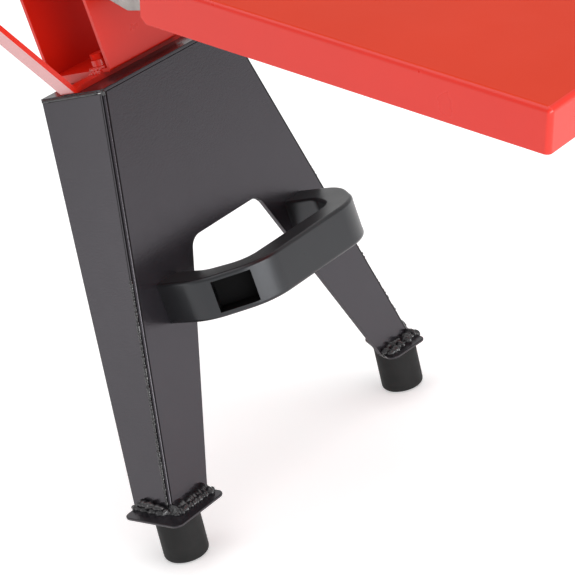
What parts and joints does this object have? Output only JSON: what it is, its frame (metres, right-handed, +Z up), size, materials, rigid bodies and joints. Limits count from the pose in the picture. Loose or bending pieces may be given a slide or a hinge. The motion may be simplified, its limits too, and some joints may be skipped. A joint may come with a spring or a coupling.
{
  "type": "log splitter",
  "caption": "Horizontal electric log splitter on a splayed black leg with a carry handle, two rear wheels, hydraulic ram, wedge and a sloping red outfeed tray.",
  "frame": {"origin": "on the ground under the middle of the whole machine", "axes": "+Z up, +Y along the beam towards the pump end, +X to the right when looking from the leg end to the pump"},
  "size_m": [0.4825, 1.7474, 0.897],
  "materials": {
    "black_paint": "semi-gloss charcoal powder coat with a fine orange peel",
    "red_paint": "glossy orange-red enamel",
    "moulded_plastic": "moulded black plastic, satin",
    "foot_rubber": "matt black rubber",
    "tyre_rubber": "matt black solid rubber with tread",
    "cast_iron": "rough sand-cast, bare grey",
    "cast_aluminium": "sand-blasted casting",
    "zinc_steel": "bright zinc plate",
    "chromed_rod": "ground and hard-chromed",
    "rim_paint": "grey enamel",
    "fan_plastic": "moulded black plastic",
    "green_button": "glossy green",
    "red_button": "glossy red"
  },
  "bodies": {
    "frame": {"leg_front_plate": "black_paint", "leg_side_plates": "black_paint", "leg_top_cap": "black_paint", "foot_plates": "black_paint", "rear_stand": "black_paint", "motor_fan_cover": "black_paint", "oil_tank": "black_paint", "valve_body": "black_paint", "cradle_straps": "red_paint", "cradle_rails": "red_paint", "pedestal": "red_paint", "beam": "red_paint", "wedge_base": "red_paint", "outfeed_tray": "red_paint", "tray_brackets": "red_paint", "pedestal_bolts": "red_paint", "barrel_saddle": "red_paint", "front_head": "red_paint", "cylinder_barrel": "red_paint", "carry_handle": "moulded_plastic", "switch_box": "moulded_plastic", "power_inlet": "moulded_plastic", "foot_sleeves": "foot_rubber", "rod_wiper": "foot_rubber", "wedge": "cast_iron", "nose_casting": "cast_iron", "pump_block": "cast_aluminium", "motor_housing": "cast_aluminium", "motor_shields": "cast_aluminium", "handle_screws": "zinc_steel", "beam_bolts": "zinc_steel", "tie_rods": "zinc_steel", "axle": "zinc_steel", "axle_spacers": "zinc_steel", "hydraulic_pipes": "zinc_steel", "pipe_unions": "zinc_steel", "lever_pin": "zinc_steel", "stator": "zinc_steel", "motor_bearings": "zinc_steel", "gland_cap": "zinc_steel"},
    "ram": {"push_block": "black_paint", "push_face": "cast_iron", "slide_gibs": "zinc_steel", "gib_bolts": "zinc_steel", "piston_rod": "chromed_rod", "piston": "zinc_steel", "piston_seal": "foot_rubber"},
    "rotor": {"rotor": "zinc_steel", "cooling_fan": "fan_plastic"},
    "lever": {"control_lever": "zinc_steel", "lever_knob": "moulded_plastic"},
    "spool": {"valve_spool": "zinc_steel"},
    "start_button": {"start_button": "green_button"},
    "stop_button": {"stop_button": "red_button"},
    "bleed_screw": {"bleed_screw": "zinc_steel"},
    "filler_cap": {"filler_cap": "moulded_plastic"},
    "wheel_left": {"rim_left": "rim_paint", "tyre_left": "tyre_rubber"},
    "wheel_right": {"rim_right": "rim_paint", "tyre_right": "tyre_rubber"}
  },
  "joints": [
    {"name": "ram_slide", "type": "slide", "parent": "frame", "child": "ram", "axis": [0, -1, 0], "range_m": [0, 0.38]},
    {"name": "motor_spin", "type": "hinge", "parent": "frame", "child": "rotor", "pos_m": [0, 0.6587, 0.505], "axis": [0, 1, 0], "continuous": true},
    {"name": "control_lever_swing", "type": "hinge", "parent": "frame", "child": "lever", "pos_m": [0.0745, 0.7567, 0.75], "axis": [1, 0, 0], "range_deg": [0, 15], "stiffness_Nm_per_rad": 3, "springref_deg": -5.73},
    {"name": "valve_spool_slide", "type": "slide", "parent": "frame", "child": "spool", "axis": [0, 1, 0], "range_m": [0, 0.009]},
    {"name": "start_button_press", "type": "slide", "parent": "frame", "child": "start_button", "axis": [1, 0, 0], "range_m": [0, 0.003], "stiffness_N_per_m": 400, "springref_m": -0.001},
    {"name": "stop_button_press", "type": "slide", "parent": "frame", "child": "stop_button", "axis": [1, 0, 0], "range_m": [0, 0.003], "stiffness_N_per_m": 400, "springref_m": -0.001},
    {"name": "bleed_screw_turn", "type": "hinge", "parent": "frame", "child": "bleed_screw", "pos_m": [-0.035, 0.8307, 0.8], "axis": [0, 0, 1], "range_deg": [0, 720]},
    {"name": "filler_cap_turn", "type": "hinge", "parent": "frame", "child": "filler_cap", "pos_m": [-0.05, 0.3487, 0.56], "axis": [-1, 0, 0], "range_deg": [0, 720]},
    {"name": "wheel_left_spin", "type": "hinge", "parent": "frame", "child": "wheel_left", "pos_m": [-0.145, 0.6587, 0.1], "axis": [1, 0, 0], "continuous": true},
    {"name": "wheel_right_spin", "type": "hinge", "parent": "frame", "child": "wheel_right", "pos_m": [0.145, 0.6587, 0.1], "axis": [1, 0, 0], "continuous": true}
  ],
  "couplings": [
    {"joint": "valve_spool_slide", "follows": "control_lever_swing", "m_per_rad": 0.03}
  ]
}
